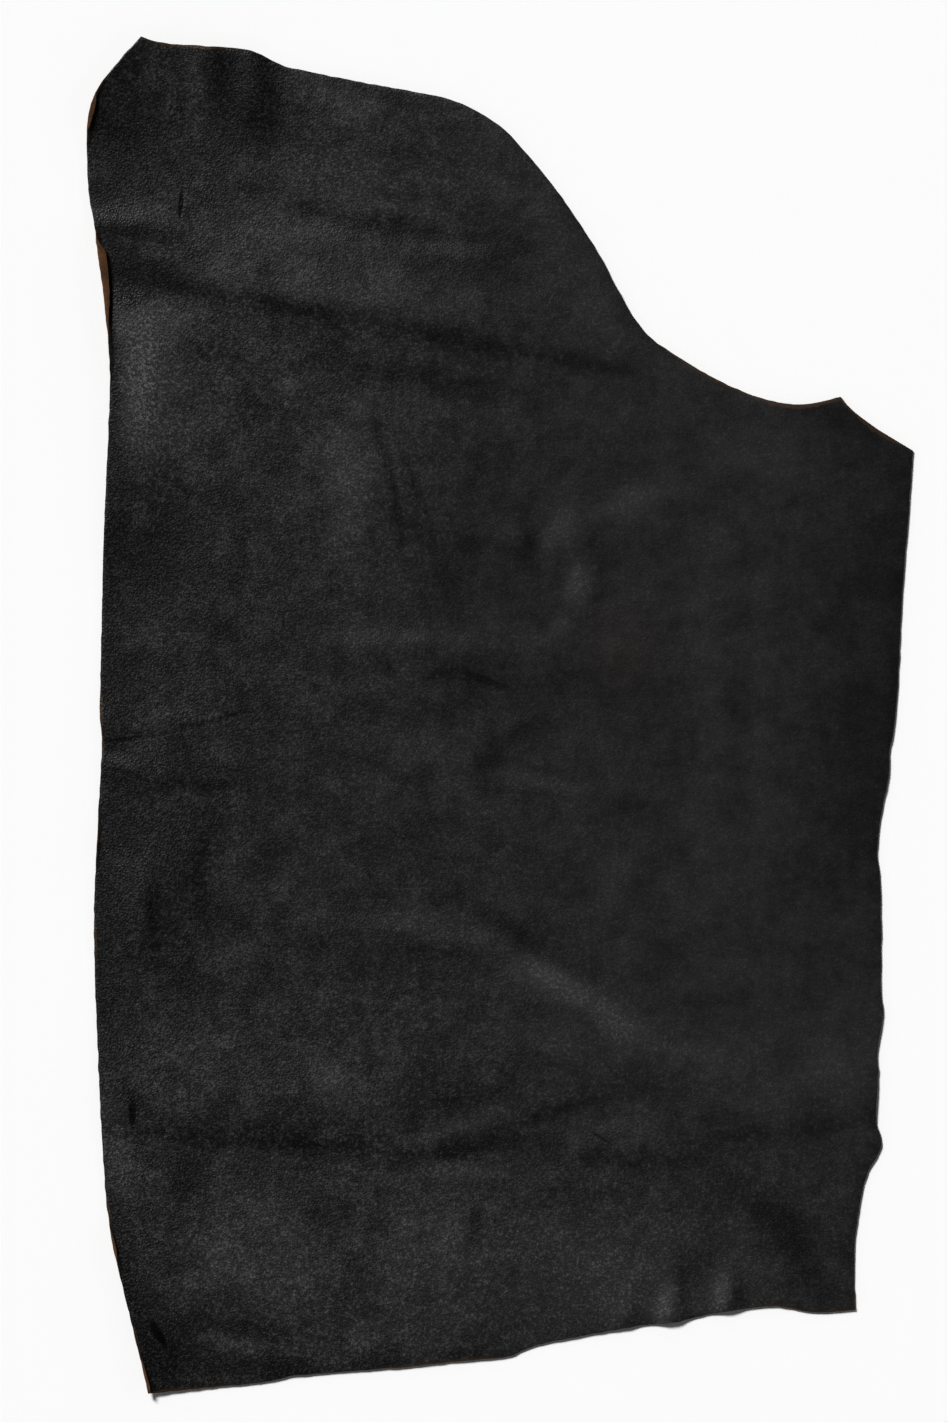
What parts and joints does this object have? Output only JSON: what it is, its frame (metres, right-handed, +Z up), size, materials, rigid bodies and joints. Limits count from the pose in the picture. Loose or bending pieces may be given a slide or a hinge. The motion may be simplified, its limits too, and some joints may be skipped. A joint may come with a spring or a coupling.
{
  "type": "leather hide",
  "caption": "Single tanned leather skin laid out flat with its grain side up, natural cut outline, soft storage folds and a left edge that curls over.",
  "frame": {"origin": "on the surface that the hide lies on, under the middle of its outline", "axes": "+Y up the length of the hide towards its neck, +X across it towards its straight right edge, +Z up from the flesh side to the grain side"},
  "size_m": [0.8262, 1.356, 0.0103],
  "materials": {
    "dyed_leather": "satin, fine grain, near black, with a brown flesh side"
  },
  "bodies": {
    "root": {"hide": "dyed_leather"}
  },
  "joints": []
}
